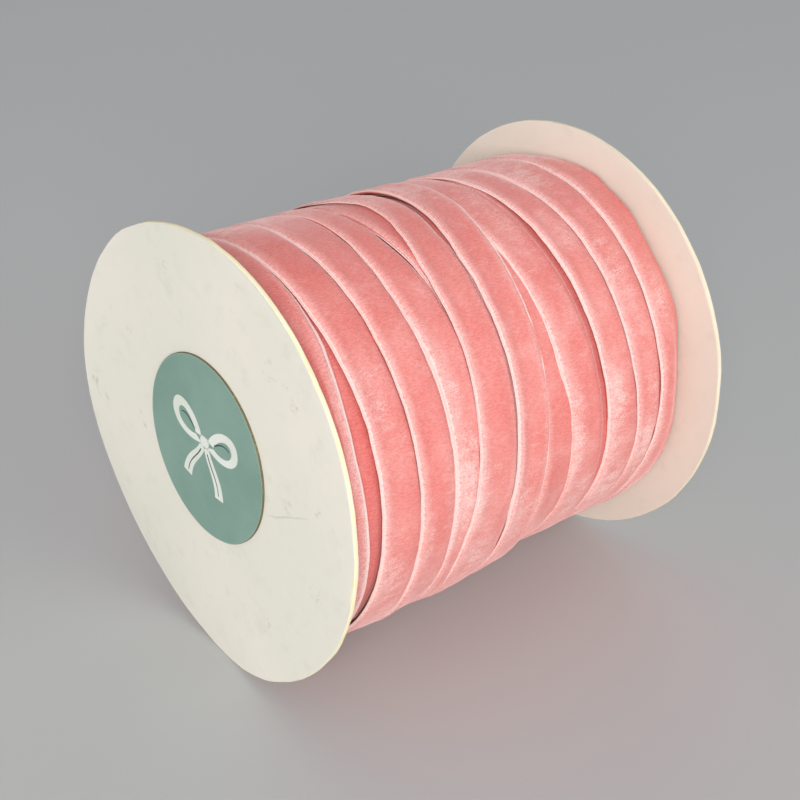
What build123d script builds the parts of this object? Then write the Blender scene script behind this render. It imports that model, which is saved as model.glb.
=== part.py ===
"""Ribbon spool: two laminated card flanges on a paperboard core tube, wound with
narrow velvet ribbon, with a round label card over the front end of the core.

Frame: millimetres, +Z up, +Y along the spool's axis. The label looks towards -Y,
the open end of the core looks towards +Y. The origin is the middle of the core
bore, so the spool turns about +Y and its two rims stand on z = -flange_r.
Angles are measured round the axis from +X towards +Z.
"""
from build123d import *

import os
from math import cos, radians, sin

os.makedirs("parts", exist_ok=True)

# ---------------------------------------------------------------- dimensions
flange_r = 50.0            # card flange radius
overall_w = 101.5          # outer face to outer face of the two flanges
liner_t = 0.15             # white facing paper on each side of a flange
board_t = 0.70             # cream board between the facings
half_w = overall_w / 2
flange_t = board_t + 2 * liner_t
inner_y = half_w - flange_t            # inner face of each flange

bore_r = 13.0              # core bore, goes over a 25 mm dowel
inner_ply_t = 0.40
core_board_t = 1.20
outer_ply_t = 0.40
core_board_r0 = bore_r + inner_ply_t
core_board_r1 = core_board_r0 + core_board_t
core_r = core_board_r1 + outer_ply_t
hole_r = core_r + 0.05     # flange hole, a close fit round the tube

bead_leg = 0.8             # glue fillet between tube and flange, under the ribbon

label_r = 20.8
label_x, label_z = 0.1, 1.2            # stuck on by hand, a little off the axis
label_card_t = 0.45
label_face_r = 20.7
label_face_t = 0.12

ribbon_w = 10.0            # woven width of the ribbon
ribbon_t = 0.90            # pressed thickness of pile and ground
wind_gap = 0.15            # between the winding and each flange
wind_half = inner_y - wind_gap
wind_r0 = core_r + 0.20
wind_front_r = 42.40       # the winding is fuller at the label end
wind_rear_r = 40.60
layer_gap = 0.05
turn_step = 0.55           # each turn laps over the one before it
turns = 10                 # turns in a layer, from the label end to the open end

tail_y0 = 39.3             # the ribbon's free end: the last turn's, hanging down the back
tail_r0 = 43.10
tail_r1 = tail_r0 + ribbon_t
tail_a0 = 140.0            # line where it lifts off the winding
tail_a1 = 215.0            # its cut end
tape_t = 0.08
tape_r0 = tail_r1 + 0.02
tape_a0, tape_a1 = 207.0, 219.0
tape_y0, tape_y1 = 28.3, 49.3

start_tape_r0 = core_r + 0.02
start_tape_t = 0.14
start_tape_a0, start_tape_a1 = 55.0, 150.0
start_tape_y0, start_tape_y1 = -48.0, -32.0


# ---------------------------------------------------------------- flanges
# Plane.XZ looks along -Y: an offset of d lies at y = -d, and extrudes towards -Y.
with BuildPart() as front_flange_inner_liner:
    with BuildSketch(Plane.XZ.offset(inner_y)):
        Circle(flange_r)
        Circle(hole_r, mode=Mode.SUBTRACT)
    extrude(amount=liner_t)

with BuildPart() as front_flange_board:
    with BuildSketch(Plane.XZ.offset(inner_y + liner_t)):
        Circle(flange_r)
        Circle(hole_r, mode=Mode.SUBTRACT)
    extrude(amount=board_t)

with BuildPart() as front_flange_outer_liner:
    with BuildSketch(Plane.XZ.offset(inner_y + liner_t + board_t)):
        Circle(flange_r)
        Circle(hole_r, mode=Mode.SUBTRACT)
    extrude(amount=liner_t)

with BuildPart() as rear_flange_inner_liner:
    with BuildSketch(Plane.XZ.offset(-inner_y)):
        Circle(flange_r)
        Circle(hole_r, mode=Mode.SUBTRACT)
    extrude(amount=-liner_t)

with BuildPart() as rear_flange_board:
    with BuildSketch(Plane.XZ.offset(-inner_y - liner_t)):
        Circle(flange_r)
        Circle(hole_r, mode=Mode.SUBTRACT)
    extrude(amount=-board_t)

with BuildPart() as rear_flange_outer_liner:
    with BuildSketch(Plane.XZ.offset(-inner_y - liner_t - board_t)):
        Circle(flange_r)
        Circle(hole_r, mode=Mode.SUBTRACT)
    extrude(amount=-liner_t)

# ---------------------------------------------------------------- core tube
# Three plies. The tube passes through both flanges and ends flush with them.
with BuildPart() as core_tube_inner_ply:
    with BuildSketch(Plane.XZ.offset(-half_w)):
        Circle(core_board_r0)
        Circle(bore_r, mode=Mode.SUBTRACT)
    extrude(amount=overall_w)

with BuildPart() as core_tube_board:
    with BuildSketch(Plane.XZ.offset(-half_w)):
        Circle(core_board_r1)
        Circle(core_board_r0, mode=Mode.SUBTRACT)
    extrude(amount=overall_w)

with BuildPart() as core_tube_outer_ply:
    with BuildSketch(Plane.XZ.offset(-half_w)):
        Circle(core_r)
        Circle(core_board_r1, mode=Mode.SUBTRACT)
    extrude(amount=overall_w)

# Glue fillets in the corners between the tube and the flanges' inner faces.
with BuildPart() as front_glue_bead:
    with BuildSketch(Plane.XY):
        with BuildLine():
            Polyline(
                (core_r, -inner_y),
                (core_r + bead_leg, -inner_y),
                (core_r, -inner_y + bead_leg),
                close=True,
            )
        make_face()
    revolve(axis=Axis.Y)

with BuildPart() as rear_glue_bead:
    with BuildSketch(Plane.XY):
        with BuildLine():
            Polyline(
                (core_r, inner_y),
                (core_r + bead_leg, inner_y),
                (core_r, inner_y - bead_leg),
                close=True,
            )
        make_face()
    revolve(axis=Axis.Y)

# ---------------------------------------------------------------- label
with BuildPart() as label_card:
    with BuildSketch(Plane.XZ.offset(half_w)):
        with Locations((label_x, label_z)):
            Circle(label_r)
    extrude(amount=label_card_t)

with BuildPart() as label_face:
    with BuildSketch(Plane.XZ.offset(half_w + label_card_t)):
        with Locations((label_x, label_z)):
            Circle(label_face_r)
    extrude(amount=label_face_t)

# ---------------------------------------------------------------- ribbon
# Paper tape that holds the ribbon's first turn to the core.
with BuildPart() as start_tape:
    with BuildSketch(Plane.XZ.offset(-start_tape_y0)):
        with BuildLine():
            r0, r1 = start_tape_r0, start_tape_r0 + start_tape_t
            a0, a1 = start_tape_a0, start_tape_a1
            CenterArc((0, 0), r0, a0, a1 - a0)
            CenterArc((0, 0), r1, a0, a1 - a0)
            for a in (a0, a1):
                ca, sa = cos(radians(a)), sin(radians(a))
                Line((r0 * ca, r0 * sa), (r1 * ca, r1 * sa))
        make_face()
    extrude(amount=-(start_tape_y1 - start_tape_y0))

# Every layer under the last two, wound back and forth on the core. Its inner
# corners are cut back round the glue fillets.
with BuildPart() as ribbon_inner_winding:
    with BuildSketch(Plane.XY):
        with BuildLine():
            cut = bead_leg + 0.1
            Polyline(
                (wind_r0 + cut, -wind_half),
                (wind_front_r, -wind_half),
                (wind_rear_r, wind_half),
                (wind_r0 + cut, wind_half),
                (wind_r0, wind_half - cut),
                (wind_r0, -wind_half + cut),
                close=True,
            )
        make_face()
    revolve(axis=Axis.Y)

# The layer under the last: ten turns, sloping with the winding.
pitch = 2 * wind_half / turns
under_front_r = wind_front_r + layer_gap
under_rear_r = wind_rear_r + layer_gap
with BuildPart() as ribbon_under_layer:
    with BuildSketch(Plane.XY):
        with BuildLine():
            Polyline(
                (under_front_r, -wind_half),
                (under_front_r + ribbon_t, -wind_half),
                (under_rear_r + ribbon_t, wind_half),
                (under_rear_r, wind_half),
                close=True,
            )
        make_face()
    revolve(axis=Axis.Y)

# The last layer: ten turns side by side, each with its front edge lapped over
# the turn before it.
outer_front_r = under_front_r + ribbon_t + layer_gap
outer_rear_r = under_rear_r + ribbon_t + layer_gap
with BuildPart() as ribbon_outer_layer:
    with BuildSketch(Plane.XY):
        with BuildLine():
            last = (outer_front_r, -wind_half)
            for k in range(turns):
                y0 = -wind_half + k * pitch
                mid = outer_front_r + (outer_rear_r - outer_front_r) * (k + 0.5) / turns
                edge = (mid + ribbon_t - 0.02, y0)
                crown = (mid + ribbon_t + 0.05, y0 + 0.35 * pitch)
                low = (mid + ribbon_t - turn_step, y0 + pitch)
                Line(last, edge)
                ThreePointArc(edge, crown, low)
                last = low
            Line(last, (outer_rear_r, wind_half))
            Line((outer_rear_r, wind_half), (outer_front_r, -wind_half))
        make_face()
    revolve(axis=Axis.Y)

# The free end. Its root is a round fold on the line where it lifts off.
tail_mid = (tail_r0 + tail_r1) / 2
tail_hinge = (tail_mid * cos(radians(tail_a0)), tail_mid * sin(radians(tail_a0)))
with BuildPart() as ribbon_tail:
    with BuildSketch(Plane.XZ.offset(-tail_y0)):
        with BuildLine():
            CenterArc((0, 0), tail_r0, tail_a0, tail_a1 - tail_a0)
            CenterArc((0, 0), tail_r1, tail_a0, tail_a1 - tail_a0)
            for a in (tail_a0, tail_a1):
                ca, sa = cos(radians(a)), sin(radians(a))
                Line((tail_r0 * ca, tail_r0 * sa), (tail_r1 * ca, tail_r1 * sa))
        make_face()
        with Locations(tail_hinge):
            Circle(ribbon_t / 2)
    extrude(amount=-ribbon_w)

# Clear tape over the cut end. It lifts with the ribbon.
with BuildPart() as tail_tape:
    with BuildSketch(Plane.XZ.offset(-tape_y0)):
        with BuildLine():
            r0, r1 = tape_r0, tape_r0 + tape_t
            CenterArc((0, 0), r0, tape_a0, tape_a1 - tape_a0)
            CenterArc((0, 0), r1, tape_a0, tape_a1 - tape_a0)
            for a in (tape_a0, tape_a1):
                ca, sa = cos(radians(a)), sin(radians(a))
                Line((r0 * ca, r0 * sa), (r1 * ca, r1 * sa))
        make_face()
    extrude(amount=-(tape_y1 - tape_y0))

# ---------------------------------------------------------------- labels and files
front_flange_inner_liner.part.label = "front_flange_inner_liner"
export_step(front_flange_inner_liner.part, "parts/front_flange_inner_liner.step")
front_flange_board.part.label = "front_flange_board"
export_step(front_flange_board.part, "parts/front_flange_board.step")
front_flange_outer_liner.part.label = "front_flange_outer_liner"
export_step(front_flange_outer_liner.part, "parts/front_flange_outer_liner.step")
rear_flange_inner_liner.part.label = "rear_flange_inner_liner"
export_step(rear_flange_inner_liner.part, "parts/rear_flange_inner_liner.step")
rear_flange_board.part.label = "rear_flange_board"
export_step(rear_flange_board.part, "parts/rear_flange_board.step")
rear_flange_outer_liner.part.label = "rear_flange_outer_liner"
export_step(rear_flange_outer_liner.part, "parts/rear_flange_outer_liner.step")
core_tube_inner_ply.part.label = "core_tube_inner_ply"
export_step(core_tube_inner_ply.part, "parts/core_tube_inner_ply.step")
core_tube_board.part.label = "core_tube_board"
export_step(core_tube_board.part, "parts/core_tube_board.step")
core_tube_outer_ply.part.label = "core_tube_outer_ply"
export_step(core_tube_outer_ply.part, "parts/core_tube_outer_ply.step")
front_glue_bead.part.label = "front_glue_bead"
export_step(front_glue_bead.part, "parts/front_glue_bead.step")
rear_glue_bead.part.label = "rear_glue_bead"
export_step(rear_glue_bead.part, "parts/rear_glue_bead.step")
label_card.part.label = "label_card"
export_step(label_card.part, "parts/label_card.step")
label_face.part.label = "label_face"
export_step(label_face.part, "parts/label_face.step")
start_tape.part.label = "start_tape"
export_step(start_tape.part, "parts/start_tape.step")
ribbon_inner_winding.part.label = "ribbon_inner_winding"
export_step(ribbon_inner_winding.part, "parts/ribbon_inner_winding.step")
ribbon_under_layer.part.label = "ribbon_under_layer"
export_step(ribbon_under_layer.part, "parts/ribbon_under_layer.step")
ribbon_outer_layer.part.label = "ribbon_outer_layer"
export_step(ribbon_outer_layer.part, "parts/ribbon_outer_layer.step")
ribbon_tail.part.label = "ribbon_tail"
export_step(ribbon_tail.part, "parts/ribbon_tail.step")
tail_tape.part.label = "tail_tape"
export_step(tail_tape.part, "parts/tail_tape.step")

print("tail hinge at x %.3f z %.3f" % tail_hinge)
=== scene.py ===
import math
import bpy
import bmesh
import numpy as np
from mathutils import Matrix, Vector


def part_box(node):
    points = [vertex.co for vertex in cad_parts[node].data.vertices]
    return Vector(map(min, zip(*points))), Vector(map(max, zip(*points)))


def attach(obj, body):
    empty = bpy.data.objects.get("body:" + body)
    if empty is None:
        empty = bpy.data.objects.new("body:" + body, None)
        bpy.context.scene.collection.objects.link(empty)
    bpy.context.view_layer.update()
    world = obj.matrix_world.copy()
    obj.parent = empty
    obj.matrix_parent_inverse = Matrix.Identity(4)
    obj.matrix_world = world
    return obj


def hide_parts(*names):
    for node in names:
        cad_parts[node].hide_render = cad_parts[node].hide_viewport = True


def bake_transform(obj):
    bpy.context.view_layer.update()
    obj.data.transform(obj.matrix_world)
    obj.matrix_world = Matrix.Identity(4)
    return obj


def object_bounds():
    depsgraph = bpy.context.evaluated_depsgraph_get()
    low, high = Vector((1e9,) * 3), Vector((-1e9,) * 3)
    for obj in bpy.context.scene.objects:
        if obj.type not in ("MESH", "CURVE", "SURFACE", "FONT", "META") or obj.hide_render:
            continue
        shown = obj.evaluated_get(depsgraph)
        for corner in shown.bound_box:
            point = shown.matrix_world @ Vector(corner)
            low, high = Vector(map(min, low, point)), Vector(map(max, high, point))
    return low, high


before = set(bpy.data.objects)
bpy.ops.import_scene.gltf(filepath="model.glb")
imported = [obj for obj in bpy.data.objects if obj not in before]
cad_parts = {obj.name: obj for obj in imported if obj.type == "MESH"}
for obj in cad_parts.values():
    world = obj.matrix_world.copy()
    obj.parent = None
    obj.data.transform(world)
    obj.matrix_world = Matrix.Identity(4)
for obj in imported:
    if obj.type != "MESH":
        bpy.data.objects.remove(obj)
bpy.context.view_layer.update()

scene = bpy.context.scene
scene.view_settings.view_transform = "Standard"

MM = 0.001
R = 50.0                    # flange radius, mm
HALF_W = 50.75
INNER_Y = 49.75
RIBBON_W = 10.0
RIBBON_T = 0.85
rng = np.random.default_rng(20261119)


# ------------------------------------------------------------------ small maths
def smooth(x, a, b):
    t = np.clip((np.asarray(x, float) - a) / (b - a), 0, 1)
    return t * t * (3 - 2 * t)


def pchip(x, y, q):
    """Shape-preserving cubic through the knots."""
    x, y, q = (np.asarray(v, float) for v in (x, y, q))
    h, d = np.diff(x), np.diff(y) / np.diff(x)
    m = np.zeros_like(y)
    m[0], m[-1] = d[0], d[-1]
    for i in range(1, len(x) - 1):
        if d[i - 1] * d[i] > 0:
            w1, w2 = 2 * h[i] + h[i - 1], h[i] + 2 * h[i - 1]
            m[i] = (w1 + w2) / (w1 / d[i - 1] + w2 / d[i])
    i = np.clip(np.searchsorted(x, q) - 1, 0, len(x) - 2)
    t = np.clip((q - x[i]) / h[i], 0, 1)
    return (
        (1 + 2 * t) * (1 - t) ** 2 * y[i]
        + t * (1 - t) ** 2 * h[i] * m[i]
        + t * t * (3 - 2 * t) * y[i + 1]
        + t * t * (t - 1) * h[i] * m[i + 1]
    )


def blur(a, sigma, axis=0, wrap=False):
    n = int(3 * sigma + 1)
    k = np.exp(-0.5 * (np.arange(-n, n + 1) / sigma) ** 2)
    k /= k.sum()
    pad = [(0, 0)] * a.ndim
    pad[axis] = (n, n)
    b = np.pad(a, pad, mode="wrap" if wrap else "edge")
    return np.apply_along_axis(lambda v: np.convolve(v, k, "valid"), axis, b)


def field(shape, sigmas, seed, wrap0=False):
    """Smooth random field with unit spread."""
    g = np.random.default_rng(seed).normal(size=shape)
    for ax, s in enumerate(sigmas):
        if s > 0:
            g = blur(g, s, ax, wrap0 and ax == 0)
    return g / (g.std() + 1e-12)


# ------------------------------------------------------------------ meshes
def new_object(name, verts, faces, mats, mat_of_face=None, smooth_faces=True, uv=None, attrs=None, sharp_deg=None):
    me = bpy.data.meshes.new(name)
    me.from_pydata([tuple(v) for v in np.asarray(verts) * MM], [], [tuple(f) for f in faces])
    for m in mats:
        me.materials.append(m)
    if mat_of_face is not None:
        me.polygons.foreach_set("material_index", np.asarray(mat_of_face, np.int32))
    me.polygons.foreach_set("use_smooth", np.full(len(me.polygons), smooth_faces))
    if uv is not None:
        layer = me.uv_layers.new(name="ribbon")
        loops = np.zeros(len(me.loops), np.int32)
        me.loops.foreach_get("vertex_index", loops)
        layer.uv.foreach_set("vector", np.asarray(uv, np.float32)[loops].ravel())
    for key, value in (attrs or {}).items():
        a = me.attributes.new(key, "FLOAT", "POINT")
        a.data.foreach_set("value", np.asarray(value, np.float32))
    me.update()
    me.validate()
    ob = bpy.data.objects.new(name, me)
    scene.collection.objects.link(ob)
    if sharp_deg is not None:
        me.set_sharp_from_angle(angle=math.radians(sharp_deg))
    return ob


def loop_grid_faces(n_along, n_round, closed_along=False, caps=True):
    """Faces of a strip of closed sections: section i has n_round vertices."""
    faces = []
    last = n_along if closed_along else n_along - 1
    for i in range(last):
        a, b = i * n_round, ((i + 1) % n_along) * n_round
        for j in range(n_round):
            k = (j + 1) % n_round
            faces.append((a + j, b + j, b + k, a + k))
    return faces


# ------------------------------------------------------------------ materials
def material(name):
    m = bpy.data.materials.new(name)
    m.use_nodes = True
    nt = m.node_tree
    bsdf = nt.nodes["Principled BSDF"]
    return m, nt, bsdf


def srgb(r, g, b):
    def f(c):
        c /= 255.0
        return c / 12.92 if c <= 0.04045 else ((c + 0.055) / 1.055) ** 2.4
    return (f(r), f(g), f(b), 1.0)


class N:
    """Short ways to add nodes."""

    def __init__(self, nt):
        self.nt = nt

    def node(self, kind, **props):
        n = self.nt.nodes.new(kind)
        for k, v in props.items():
            setattr(n, k, v)
        return n

    def link(self, a, b):
        self.nt.links.new(a, b)

    def math(self, op, a, b=None, clamp=False):
        n = self.node("ShaderNodeMath", operation=op, use_clamp=clamp)
        for i, v in enumerate((a, b)):
            if v is None:
                continue
            if isinstance(v, (int, float)):
                n.inputs[i].default_value = v
            else:
                self.link(v, n.inputs[i])
        return n.outputs[0]

    def mix(self, fac, a, b, blend="MIX"):
        n = self.node("ShaderNodeMix", data_type="RGBA", blend_type=blend)
        for sock, v in ((n.inputs[0], fac), (n.inputs[6], a), (n.inputs[7], b)):
            if isinstance(v, (int, float)):
                sock.default_value = v
            elif isinstance(v, tuple):
                sock.default_value = v
            else:
                self.link(v, sock)
        return n.outputs[2]

    def noise(self, vec, scale, detail=3, rough=0.5, dist=0.0, dims="3D"):
        n = self.node("ShaderNodeTexNoise", noise_dimensions=dims)
        n.inputs["Scale"].default_value = scale
        n.inputs["Detail"].default_value = detail
        n.inputs["Roughness"].default_value = rough
        n.inputs["Distortion"].default_value = dist
        if vec is not None:
            self.link(vec, n.inputs["Vector"])
        return n.outputs["Fac"]

    def ramp(self, fac, stops, interp="LINEAR"):
        n = self.node("ShaderNodeValToRGB")
        n.color_ramp.interpolation = interp
        el = n.color_ramp.elements
        el[0].position, el[0].color = stops[0][0], stops[0][1]
        el[1].position, el[1].color = stops[-1][0], stops[-1][1]
        for p, c in stops[1:-1]:
            e = el.new(p)
            e.color = c
        self.link(fac, n.inputs[0])
        return n.outputs["Color"]

    def remap(self, v, a, b, c=0.0, d=1.0):
        n = self.node("ShaderNodeMapRange", interpolation_type="SMOOTHSTEP")
        n.inputs["From Min"].default_value = a
        n.inputs["From Max"].default_value = b
        n.inputs["To Min"].default_value = c
        n.inputs["To Max"].default_value = d
        self.link(v, n.inputs["Value"])
        return n.outputs[0]

    def bump(self, height, strength, distance):
        n = self.node("ShaderNodeBump")
        n.inputs["Strength"].default_value = strength
        n.inputs["Distance"].default_value = distance
        self.link(height, n.inputs["Height"])
        return n.outputs[0]

    def coords(self, kind="Object"):
        return self.node("ShaderNodeTexCoord").outputs[kind]

    def scaled(self, vec, s):
        n = self.node("ShaderNodeMapping")
        n.inputs["Scale"].default_value = s
        self.link(vec, n.inputs["Vector"])
        return n.outputs[0]


BODY = srgb(234, 144, 138)
DEEP = srgb(228, 126, 119)
PALE = srgb(248, 200, 194)
SELV = srgb(248, 211, 205)
# darker red of the painted shade in the groove where the pile starts
GROOVE_SHADE = srgb(206, 118, 112)
# red of the painted shade on the pile
PAINTED_SHADE_RED = srgb(212, 92, 86)


def velvet_material():
    m, nt, b = material("velvet_pile")
    n = N(nt)
    uvn = n.node("ShaderNodeUVMap", uv_map="ribbon")
    sep = n.node("ShaderNodeSeparateXYZ")
    n.link(uvn.outputs[0], sep.inputs[0])
    along, across = sep.outputs[0], sep.outputs[1]     # mm along, 0..1 across
    obj = n.coords("Object")
    # ragged edge of the pile: the distance from the selvedge wobbles a little
    uv_mm = n.node("ShaderNodeCombineXYZ")
    n.link(along, uv_mm.inputs[0])
    n.link(n.math("MULTIPLY", across, 10.0), uv_mm.inputs[1])
    wob = n.noise(n.scaled(uv_mm.outputs[0], (2.2, 0.3, 1)), 1.0, 3, 0.6)
    edge = n.math("MINIMUM", across, n.math("SUBTRACT", 1.0, across))
    wide = n.node("ShaderNodeAttribute", attribute_name="wide").outputs["Fac"]
    edge2 = n.math("MULTIPLY", n.math("MULTIPLY", edge, 2.0), n.remap(wide, 0.0, 2.0, 1.0, 0.04))
    edge2 = n.math("ADD", edge2, n.math("MULTIPLY", n.math("SUBTRACT", wob, 0.5), 0.09))
    # fibres lie across the ribbon, a little on the slant
    slant = n.node("ShaderNodeMapping")
    slant.inputs["Rotation"].default_value = (0, 0, math.radians(14))
    slant.inputs["Scale"].default_value = (2.9, 0.75, 1)
    n.link(uv_mm.outputs[0], slant.inputs["Vector"])
    fibre = n.noise(slant.outputs[0], 1.0, 4, 0.62)
    grain = n.noise(n.scaled(obj, (1, 1, 1)), 3200.0, 2, 0.6)
    patch = n.noise(n.scaled(obj, (1, 1, 1)), 95.0, 3, 0.55, 0.4)
    streak = n.node("ShaderNodeMapping")
    streak.inputs["Rotation"].default_value = (0, 0, math.radians(-24))
    streak.inputs["Scale"].default_value = (0.5, 0.2, 1)
    n.link(uv_mm.outputs[0], streak.inputs["Vector"])
    brushed = n.noise(streak.outputs[0], 1.0, 4, 0.6)
    nap_and_sheen = n.node("ShaderNodeAttribute", attribute_name="nap_and_sheen").outputs["Fac"]
    # body colour with lighter brushed patches and painted sheen, both carried by the pile's nap attribute
    rim = n.node("ShaderNodeAttribute", attribute_name="rim").outputs["Fac"]
    nap_and_sheen_b = n.math("MULTIPLY", nap_and_sheen, n.remap(brushed, 0.34, 0.66, 0.35, 1.3))
    light = n.math("ADD", n.math("MULTIPLY", nap_and_sheen_b, 1.12), n.math("MULTIPLY", n.remap(brushed, 0.52, 0.8), 0.26))
    light = n.math("ADD", light, n.math("MULTIPLY", n.remap(patch, 0.5, 0.78), 0.18))
    fuzz = n.noise(n.scaled(obj, (1, 1, 1)), 2900.0, 3, 0.75)
    light = n.math("MULTIPLY", light, n.remap(fibre, 0.2, 0.75, 0.7, 1.22))
    light = n.math("MULTIPLY", light, n.remap(fuzz, 0.36, 0.64, 0.2, 1.75), clamp=True)
    body = n.mix(n.remap(patch, 0.3, 0.7), DEEP, BODY)
    body = n.mix(light, body, PALE)
    # painted highlight: a paler band on the pile's shoulder beside each pale selvedge
    shoulder_highlight = n.ramp(edge2, [(0.0, (1, 1, 1, 1)), (0.10, (1, 1, 1, 1)), (0.20, (0.52, 0.52, 0.52, 1)), (0.52, (0, 0, 0, 1)), (1.0, (0, 0, 0, 1))])
    shoulder_highlight = n.math("MULTIPLY", n.math("MULTIPLY", shoulder_highlight, rim), n.remap(fibre, 0.25, 0.7, 0.45, 0.85))
    shoulder_highlight = n.math("MULTIPLY", shoulder_highlight, n.remap(fuzz, 0.34, 0.66, 0.7, 1.3))
    # painted shade: this attribute reddens the pile where a turn runs under the next one, beside the flange, in the
    # gaps and over the top
    painted_shade = n.node("ShaderNodeAttribute", attribute_name="painted_shade").outputs["Fac"]
    col = n.mix(n.math("MULTIPLY", painted_shade, 0.6), body, PAINTED_SHADE_RED)
    col = n.mix(shoulder_highlight, col, PALE)
    selv = n.ramp(edge2, [(0.0, (1, 1, 1, 1)), (0.11, (1, 1, 1, 1)), (0.15, (0, 0, 0, 1)), (1.0, (0, 0, 0, 1))])
    line = n.ramp(edge2, [(0.0, (0, 0, 0, 1)), (0.12, (0, 0, 0, 1)), (0.15, (1, 1, 1, 1)), (0.18, (0, 0, 0, 1)), (1.0, (0, 0, 0, 1))])
    selv = n.math("MULTIPLY", n.math("MULTIPLY", selv, rim), n.remap(fuzz, 0.3, 0.6, 0.45, 1.0))
    col = n.mix(selv, col, SELV)
    # painted shade: a thin darker line in the groove where the pile starts
    col = n.mix(n.math("MULTIPLY", line, n.remap(wob, 0.4, 0.62, 0.0, 0.5)), col, GROOVE_SHADE)
    col = n.mix(n.remap(fibre, 0.25, 0.8, 0.0, 0.16), col, PALE)
    shade = n.remap(grain, 0.3, 0.7, 0.90, 1.05)
    shade = n.math("MULTIPLY", shade, n.remap(fibre, 0.25, 0.7, 0.93, 1.04))
    comb = n.node("ShaderNodeCombineXYZ")
    for i in range(3):
        n.link(shade, comb.inputs[i])
    col = n.mix(1.0, col, comb.outputs[0], "MULTIPLY")
    n.link(col, b.inputs["Base Color"])
    b.inputs["Roughness"].default_value = 0.95
    b.inputs["Specular IOR Level"].default_value = 0.15
    b.inputs["Sheen Weight"].default_value = 0.5
    b.inputs["Sheen Roughness"].default_value = 0.38
    b.inputs["Sheen Tint"].default_value = (1.0, 0.80, 0.77, 1)
    height = n.math("ADD", n.math("MULTIPLY", fibre, 0.7), n.math("MULTIPLY", grain, 0.5))
    n.link(n.bump(height, 0.55, 0.00016), b.inputs["Normal"])
    return m


def velvet_back_material():
    """The woven ground on the ribbon's back: fine ribs across, and a satin gloss."""
    m, nt, b = material("velvet_ground")
    n = N(nt)
    uvn = n.node("ShaderNodeUVMap", uv_map="ribbon")
    mm = n.scaled(uvn.outputs[0], (1, 10, 1))
    ribs = n.node("ShaderNodeTexWave", wave_type="BANDS", bands_direction="X")
    ribs.inputs["Scale"].default_value = 1.1
    ribs.inputs["Distortion"].default_value = 0.6
    n.link(mm, ribs.inputs["Vector"])
    warp = n.node("ShaderNodeTexWave", wave_type="BANDS", bands_direction="Y")
    warp.inputs["Scale"].default_value = 1.5
    warp.inputs["Distortion"].default_value = 0.4
    n.link(mm, warp.inputs["Vector"])
    cloudy = n.noise(mm, 0.35, 3, 0.5)
    w = n.math("MULTIPLY", ribs.outputs["Fac"], warp.outputs["Fac"])
    col = n.mix(w, srgb(214, 112, 104), srgb(240, 158, 150))
    col = n.mix(n.remap(cloudy, 0.4, 0.7, 0.0, 0.25), col, srgb(246, 186, 178))
    n.link(col, b.inputs["Base Color"])
    n.link(n.remap(w, 0.0, 1.0, 0.62, 0.45), b.inputs["Roughness"])
    n.link(n.bump(w, 0.5, 0.00008), b.inputs["Normal"])
    return m


def card_material(name, base, dark, warm, scuffs=0.5, crease=False, seed=0.0):
    m, nt, b = material(name)
    n = N(nt)
    obj = n.coords("Object")
    move = n.node("ShaderNodeMapping")
    move.inputs["Location"].default_value = (seed, seed * 0.7, seed * 1.3)
    n.link(obj, move.inputs["Vector"])
    v = move.outputs[0]
    cloud = n.noise(v, 26.0, 4, 0.55, 0.3)
    mottle = n.noise(v, 210.0, 3, 0.6)
    fibre = n.noise(n.scaled(v, (900, 900, 2600)), 1.0, 3, 0.65)
    spots = n.noise(v, 120.0, 2, 0.5, 0.8)
    smear = n.noise(n.scaled(v, (60, 60, 190)), 1.0, 3, 0.6, 0.6)
    col = n.mix(n.remap(cloud, 0.35, 0.68), base, warm)
    col = n.mix(n.remap(mottle, 0.52, 0.8, 0.0, 0.35), col, dark)
    dirt = n.math("MULTIPLY", n.remap(spots, 0.66, 0.78), n.remap(smear, 0.45, 0.7))
    col = n.mix(n.math("MULTIPLY", dirt, scuffs), col, srgb(168, 170, 158))
    col = n.mix(n.remap(fibre, 0.55, 0.8, 0.0, 0.10), col, srgb(196, 190, 172))
    height = n.math("ADD", n.math("MULTIPLY", fibre, 0.5), n.math("MULTIPLY", mottle, 0.8))
    if crease:
        # a faint crease across the lower part, as a shallow dent line, darkened in colour as painted shade in the dent
        sep = n.node("ShaderNodeSeparateXYZ")
        n.link(v, sep.inputs[0])
        x, z = sep.outputs[0], sep.outputs[2]
        wavy = n.noise(v, 190.0, 2, 0.5)
        d = n.math("ADD", n.math("MULTIPLY", x, CREASE[0]), n.math("ADD", z, CREASE[1]))
        d = n.math("ABSOLUTE", n.math("ADD", d, n.math("MULTIPLY", n.math("SUBTRACT", wavy, 0.5), 0.0022)))
        mark = n.math("MULTIPLY", n.remap(d, 0.0, 0.00035, 1.0, 0.0), n.math("MULTIPLY", n.remap(x, CREASE[2], CREASE[2] + 0.004), n.remap(x, CREASE[3] - 0.004, CREASE[3], 1.0, 0.0)))
        col = n.mix(n.math("MULTIPLY", mark, 0.30), col, srgb(158, 154, 138))
        height = n.math("SUBTRACT", height, n.math("MULTIPLY", mark, 1.2))
        for sx, sz, size in SCUFFS:
            here = n.node("ShaderNodeVectorMath", operation="DISTANCE")
            n.link(v, here.inputs[0])
            here.inputs[1].default_value = (sx * MM, -(HALF_W) * MM, sz * MM)
            near = n.remap(here.outputs["Value"], 0.25 * size * MM, 1.5 * size * MM, 1.0, 0.0)
            spot = n.math("MULTIPLY", near, n.remap(n.noise(v, 900.0, 3, 0.65), 0.5, 0.66))
            col = n.mix(n.math("MULTIPLY", spot, 0.42), col, srgb(170, 158, 138))
    n.link(col, b.inputs["Base Color"])
    n.link(n.remap(mottle, 0.3, 0.7, 0.62, 0.8), b.inputs["Roughness"])
    b.inputs["Specular IOR Level"].default_value = 0.3
    n.link(n.bump(height, 0.35, 0.00006), b.inputs["Normal"])
    return m


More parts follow.
